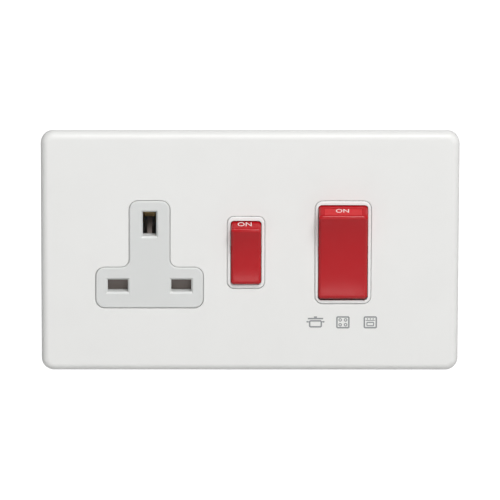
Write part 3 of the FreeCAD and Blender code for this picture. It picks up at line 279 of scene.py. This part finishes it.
def round_ridges(node, ridge):
    """Round the two ridges of a rocker, where its dished face meets the end facets."""
    ridge_out, ridge_up = ridge
    group = node.vertex_groups.new(name="ridges")
    for vertex in node.data.vertices:
        out = -vertex.co.y / MM - PIVOT_LEVEL
        up = vertex.co.z / MM
        untilted_out = out * math.cos(TILT) - up * math.sin(TILT)
        untilted_up = up * math.cos(TILT) + out * math.sin(TILT)
        if math.hypot(untilted_out - ridge_out, abs(untilted_up) - ridge_up) < RIDGE_TOLERANCE:
            group.add([vertex.index], 1.0, "REPLACE")
    rounding = node.modifiers.new("round_ridges", "BEVEL")
    rounding.width = RIDGE_ROUNDING * MM
    rounding.segments = RIDGE_SEGMENTS
    rounding.limit_method = "VGROUP"
    rounding.vertex_group = group.name
    rounding.use_clamp_overlap = False
    rounding.harden_normals = True


def dress_node(name, slot_name):
    """A CAD node keeps its shape and gets its finish and softened edges."""
    node = frame["nodes"][name]
    node.data.materials.clear()
    node.data.materials.append(SLOT_LOOK[slot_name])
    weld = node.modifiers.new("weld", "WELD")
    weld.merge_threshold = WELD_REACH * MM
    if name in FACING:
        flatten = node.modifiers.new("join_flat_faces", "DECIMATE")
        flatten.decimate_type = "DISSOLVE"
        flatten.angle_limit = FLAT_ANGLE
    if name in FACETS:
        ridge, _ = FACETS[name]
        round_ridges(node, ridge)
    soften = node.modifiers.new("soften", "BEVEL")
    soften.width = SOFT_EDGE * MM
    soften.segments = SOFT_SEGMENTS
    soften.limit_method = "ANGLE"
    soften.angle_limit = SHARP_ANGLE


def shortening_coil(name, joint):
    """A copy of a spring that rides on the joint's parent body, while the spring's own node is hidden.
    """
    coil = bpy.data.objects.new(name + "_coil", frame["nodes"][name].data.copy())
    bpy.context.scene.collection.objects.link(coil)
    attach(coil, joint["parent"])
    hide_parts(name)
    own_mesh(coil)


for entry in frame["record"]["subparts"]:
    dress_node(entry["node"], entry["material_slot"])
for slide in frame["record"]["behaviour"]["joints"]:
    for spring in slide.get("deforming_nodes", []):
        shortening_coil(spring["node"], slide)


# Flat print

# Print is a thin layer, and its middle is lifted a little from the surface under it.
PRINT_THICKNESS = 0.03
PRINT_LIFT = 0.012
LETTER_STEPS = 4
CORNER_STEPS = 5
CIRCLE_POINTS = 28
SMALLEST_CORNER = 0.05
QUARTER_TURN = math.radians(90.0)


def mesh_of(curve):
    """The filled and thickened mesh of a text or a flat curve."""
    curve.extrude = PRINT_THICKNESS / 2 * MM
    maker = bpy.data.objects.new(curve.name + "_maker", curve)
    bpy.context.scene.collection.objects.link(maker)
    bpy.context.view_layer.update()
    mesh = bpy.data.meshes.new_from_object(maker.evaluated_get(bpy.context.evaluated_depsgraph_get()))
    bpy.data.objects.remove(maker)
    return mesh


def print_piece(name, mesh, place, material):
    """A piece of print whose middle layer lies in the XY plane of its place."""
    mesh.transform(place)
    mesh.name = name
    mesh.materials.append(material)
    piece = bpy.data.objects.new(name, mesh)
    bpy.context.scene.collection.objects.link(piece)
    return piece


def text_piece(name, words, width, height, place, material):
    """Printed words with the given overall size."""
    data = bpy.data.curves.new(name, "FONT")
    data.body = words
    data.resolution_u = LETTER_STEPS
    mesh = mesh_of(data)
    xs = [vertex.co.x for vertex in mesh.vertices]
    ys = [vertex.co.y for vertex in mesh.vertices]
    middle_x, middle_y = (min(xs) + max(xs)) / 2, (min(ys) + max(ys)) / 2
    for vertex in mesh.vertices:
        vertex.co.x = (vertex.co.x - middle_x) * width * MM / (max(xs) - min(xs))
        vertex.co.y = (vertex.co.y - middle_y) * height * MM / (max(ys) - min(ys))
    return print_piece(name, mesh, place, material)


def flat_piece(name, outlines, place, material):
    """A printed shape from closed outlines, where inner outlines are holes."""
    data = bpy.data.curves.new(name, "CURVE")
    data.dimensions = "2D"
    data.fill_mode = "BOTH"
    for outline in outlines:
        spline = data.splines.new("POLY")
        spline.points.add(len(outline) - 1)
        for point, (x, y) in zip(spline.points, outline):
            point.co = (x * MM, y * MM, 0.0, 1.0)
        spline.use_cyclic_u = True
    return print_piece(name, mesh_of(data), place, material)


def circle(x, y, radius, count=CIRCLE_POINTS):
    turns = [2 * math.pi * i / count for i in range(count)]
    return [(x + radius * math.cos(turn), y + radius * math.sin(turn)) for turn in turns]


def ring(x, y, radius, stroke):
    return [circle(x, y, radius), circle(x, y, radius - stroke)]


def rectangle(x, y, width, height, corner):
    """A rectangle about (x, y) with rounded corners."""
    points = []
    for quarter, (right, up) in enumerate(((1, 1), (-1, 1), (-1, -1), (1, -1))):
        centre_x = x + right * (width / 2 - corner)
        centre_y = y + up * (height / 2 - corner)
        for step in range(CORNER_STEPS + 1):
            turn = QUARTER_TURN * (quarter + step / CORNER_STEPS)
            points.append((centre_x + corner * math.cos(turn), centre_y + corner * math.sin(turn)))
    return points


def outlined(x, y, width, height, corner, stroke):
    """The two outlines of a rounded frame with the given stroke."""
    inner_corner = max(corner - stroke, SMALLEST_CORNER)
    return [
        rectangle(x, y, width, height, corner),
        rectangle(x, y, width - 2 * stroke, height - 2 * stroke, inner_corner),
    ]


# Pictograms under the large rocker

# Each is drawn about its own middle. A box is (x, y, width, height, corner radius).
STROKE = 0.52
LEGEND_X = 32.6
LEGEND_Z = -25.2
LEGEND_PITCH = 9.6

POT_BOWL = (0.0, -0.55, 4.6, 2.7, 0.7)
POT_LID = (0.0, 1.35, 5.4, STROKE, 0.18)
POT_KNOB = (0.0, 1.9, 1.1, 0.5, 0.2)
POT_LEFT_HANDLE = (-2.75, 0.2, 0.8, STROKE, 0.15)
POT_RIGHT_HANDLE = (2.75, 0.2, 0.8, STROKE, 0.15)

COOKER_TOP = (0.0, 0.0, 4.7, 4.4, 0.6)
HOB_RING_X = 0.95
HOB_RING_Y = 0.87
HOB_RING_RADIUS = 0.62
HOB_RING_STROKE = 0.34

OVEN_RAIL = (0.0, 0.66, 3.2, 0.28, 0.1)
OVEN_WINDOW = (0.0, -0.62, 2.7, 1.55, 0.35)
OVEN_WINDOW_STROKE = 0.36
OVEN_KNOB_Y = 1.24
OVEN_KNOB_RADIUS = 0.24
OVEN_KNOB_POINTS = 14

pot = [
    *outlined(*POT_BOWL, STROKE),
    *(rectangle(*box) for box in (POT_LID, POT_KNOB, POT_LEFT_HANDLE, POT_RIGHT_HANDLE)),
]
hob = outlined(*COOKER_TOP, STROKE)
for side in (-1, 1):
    for row in (-1, 1):
        hob += ring(side * HOB_RING_X, row * HOB_RING_Y, HOB_RING_RADIUS, HOB_RING_STROKE)
oven = [
    *outlined(*COOKER_TOP, STROKE),
    rectangle(*OVEN_RAIL),
    *(circle(knob_x, OVEN_KNOB_Y, OVEN_KNOB_RADIUS, OVEN_KNOB_POINTS) for knob_x in (-1.0, 0.0, 1.0)),
    *outlined(*OVEN_WINDOW, OVEN_WINDOW_STROKE),
]


def pictogram(name, outlines, x):
    """Print a symbol on the front plate."""
    plate_low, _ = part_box("front_plate")
    stand = Matrix.Translation((x * MM, plate_low.y - PRINT_LIFT * MM, LEGEND_Z * MM))
    upright = Matrix.Rotation(QUARTER_TURN, 4, "X")
    piece = flat_piece(name, outlines, stand @ upright, LEGEND_GREY)
    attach(piece, "front_plate")


pictogram("legend_pot", pot, LEGEND_X - LEGEND_PITCH)
pictogram("legend_hob", hob, LEGEND_X)
pictogram("legend_oven", oven, LEGEND_X + LEGEND_PITCH)


# Lettering on the rockers, and the large rocker's coloured panel

# The panel lies in a shallow recess of the facet, and the lettering lies on the panel.
RECESS_DEPTH = 0.15
PANEL_LIFT = PRINT_LIFT - RECESS_DEPTH
ON_PANEL_LIFT = PANEL_LIFT + PRINT_THICKNESS + PRINT_LIFT
PANEL = (0.0, 0.0, 13.0, 3.4, 0.1)
PANEL_ALONG = 2.85


def facet_place(body, aside, along, lift):
    """Where print lies on a rocker's top facet: X runs right, Y away from the ridge and Z outwards."""
    (ridge_out, ridge_up), (end_out, end_up) = FACETS[body]
    out_step, up_step = end_out - ridge_out, end_up - ridge_up
    length = math.hypot(out_step, up_step)
    out_step, up_step = out_step / length, up_step / length
    out = ridge_out + along * out_step + lift * up_step
    up = ridge_up + along * up_step - lift * out_step
    across = Vector((1.0, 0.0, 0.0))
    rise = Vector((0.0, -out_step, up_step))
    away = across.cross(rise)
    local = Matrix((
        (across.x, rise.x, away.x, 0.0),
        (across.y, rise.y, away.y, -out * MM),
        (across.z, rise.z, away.z, up * MM),
        (0.0, 0.0, 0.0, 1.0),
    ))
    middle_x = sum(corner.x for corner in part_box(body)) / 2
    pivot = Matrix.Translation((middle_x + aside * MM, -PIVOT_LEVEL * MM, 0.0))
    return pivot @ Matrix.Rotation(TILT, 4, "X") @ local


def rocker_lettering(body, aside, along, width, height, lift):
    """Mark a rocker ON at its top end."""
    place = facet_place(body, aside, along, lift)
    piece = text_piece(f"{body}_on", "ON", width, height, place, LEGEND_WHITE)
    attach(piece, body)


rocker_lettering("socket_rocker", aside=-0.5, along=3.4, width=4.85, height=2.3, lift=PRINT_LIFT)
rocker_lettering("cooker_rocker", aside=-0.35, along=3.5, width=4.55, height=1.9, lift=ON_PANEL_LIFT)

panel_place = facet_place("cooker_rocker", 0.0, PANEL_ALONG, PANEL_LIFT)
panel = flat_piece("cooker_rocker_panel", [rectangle(*PANEL)], panel_place, PANEL_RED)
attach(panel, "cooker_rocker")


# Floor

FLOOR_LEVEL = -0.2
FLOOR_REACH = 6.0
FLOOR_COLOUR = (0.6, 0.6, 0.6, 1.0)
# The floor glows a little short of white, and the lamps give it the rest where no shadow falls.
FLOOR_GLOW = 0.84

floor_mesh = bpy.data.meshes.new("floor")
corners = [
    (-FLOOR_REACH, -FLOOR_REACH, 0.0),
    (FLOOR_REACH, -FLOOR_REACH, 0.0),
    (FLOOR_REACH, FLOOR_REACH, 0.0),
    (-FLOOR_REACH, FLOOR_REACH, 0.0),
]
floor_mesh.from_pydata(corners, [], [tuple(range(len(corners)))])
floor = bpy.data.objects.new("floor", floor_mesh)
floor.location.z = FLOOR_LEVEL
bpy.context.scene.collection.objects.link(floor)

floor_nodes = Nodes(bpy.data.materials.new("pale_floor"))
pale = floor_nodes.add("ShaderNodeBsdfDiffuse")
pale.inputs["Color"].default_value = FLOOR_COLOUR
glow = floor_nodes.add("ShaderNodeEmission")
glow_strength = floor_nodes.span(floor_nodes.background_ray(), NO_TO_YES, 0.0, FLOOR_GLOW)
floor_nodes.link(glow_strength, glow.inputs["Strength"])
both = floor_nodes.add("ShaderNodeAddShader")
floor_nodes.link(pale.outputs["BSDF"], both.inputs[0])
floor_nodes.link(glow.outputs["Emission"], both.inputs[1])
floor_nodes.link(both.outputs["Shader"], floor_nodes.output.inputs["Surface"])
floor_mesh.materials.append(floor_nodes.owner)


# World and lamps

# The world is a pale grey, dim as it lights the object and at full strength where it shows.
WORLD_COLOUR = (0.8, 0.8, 0.8, 1.0)
WORLD_LIGHT = 0.14
WORLD_BACKGROUND = 1.0

world = bpy.data.worlds.new("studio")
bpy.context.scene.world = world
sky = Nodes(world, "ShaderNodeOutputWorld")
air = sky.add("ShaderNodeBackground")
air.inputs["Color"].default_value = WORLD_COLOUR
air_strength = sky.span(sky.background_ray(), NO_TO_YES, WORLD_LIGHT, WORLD_BACKGROUND)
sky.link(air_strength, air.inputs["Strength"])
sky.link(air.outputs["Background"], sky.output.inputs["Surface"])


def soft_light(name, place, size, power):
    """A rectangular lamp that faces the object, placed and sized in metres, with its power in watts."""
    lamp = bpy.data.lights.new(name, "AREA")
    lamp.shape = "RECTANGLE"
    lamp.size, lamp.size_y = size
    lamp.energy = power
    holder = bpy.data.objects.new(name, lamp)
    holder.location = place
    holder.rotation_mode = "QUATERNION"
    holder.rotation_quaternion = (-Vector(place)).to_track_quat("-Z", "Y")
    bpy.context.scene.collection.objects.link(holder)


soft_light("key_light", place=(0.6, -1.8, 2.2), size=(1.8, 1.2), power=76.5)
soft_light("fill_light", place=(0.15, -1.5, 0.35), size=(0.9, 0.9), power=2.5)
soft_light("low_light", place=(0.0, -1.5, -0.13), size=(0.8, 0.13), power=1.2)
soft_light("back_light", place=(0.3, 1.3, 0.9), size=(0.9, 0.9), power=2.0)


# Camera

CAMERA_DISTANCE = 2.5
CAMERA_AZIMUTH = math.radians(-0.547)
CAMERA_ELEVATION = math.radians(14.19)
CAMERA_ROLL = math.radians(0.16)
SENSOR_MM = 36.0
NEAREST = 0.1
FARTHEST = 20.0
PIXELS_PER_METRE = 2857.2
FRAME_PIXELS = 500.0
# Where the origin shows, in pixels from the top left corner.
ORIGIN_COLUMN = 249.89
ORIGIN_ROW = 249.24


def camera_place():
    """The matrix of a camera that has the photograph's angle and shows the origin at its pixel."""
    back = Vector((
        math.sin(CAMERA_AZIMUTH) * math.cos(CAMERA_ELEVATION),
        -math.cos(CAMERA_AZIMUTH) * math.cos(CAMERA_ELEVATION),
        math.sin(CAMERA_ELEVATION),
    ))
    level_right = Vector((math.cos(CAMERA_AZIMUTH), math.sin(CAMERA_AZIMUTH), 0.0))
    level_up = back.cross(level_right)
    right = level_right * math.cos(CAMERA_ROLL) + level_up * math.sin(CAMERA_ROLL)
    up = level_up * math.cos(CAMERA_ROLL) - level_right * math.sin(CAMERA_ROLL)
    aside = (FRAME_PIXELS / 2 - ORIGIN_COLUMN) / PIXELS_PER_METRE
    above = (ORIGIN_ROW - FRAME_PIXELS / 2) / PIXELS_PER_METRE
    stand = back * CAMERA_DISTANCE + right * aside + up * above
    return Matrix((
        (right.x, up.x, back.x, stand.x),
        (right.y, up.y, back.y, stand.y),
        (right.z, up.z, back.z, stand.z),
        (0.0, 0.0, 0.0, 1.0),
    ))


camera_data = bpy.data.cameras.new("camera")
camera_data.sensor_width = SENSOR_MM
camera_data.lens = SENSOR_MM * PIXELS_PER_METRE * CAMERA_DISTANCE / FRAME_PIXELS
camera_data.clip_start = NEAREST
camera_data.clip_end = FARTHEST
camera = bpy.data.objects.new("camera", camera_data)
bpy.context.scene.collection.objects.link(camera)
bpy.context.scene.camera = camera
camera.matrix_world = camera_place()

bpy.context.scene.view_settings.view_transform = "Standard"
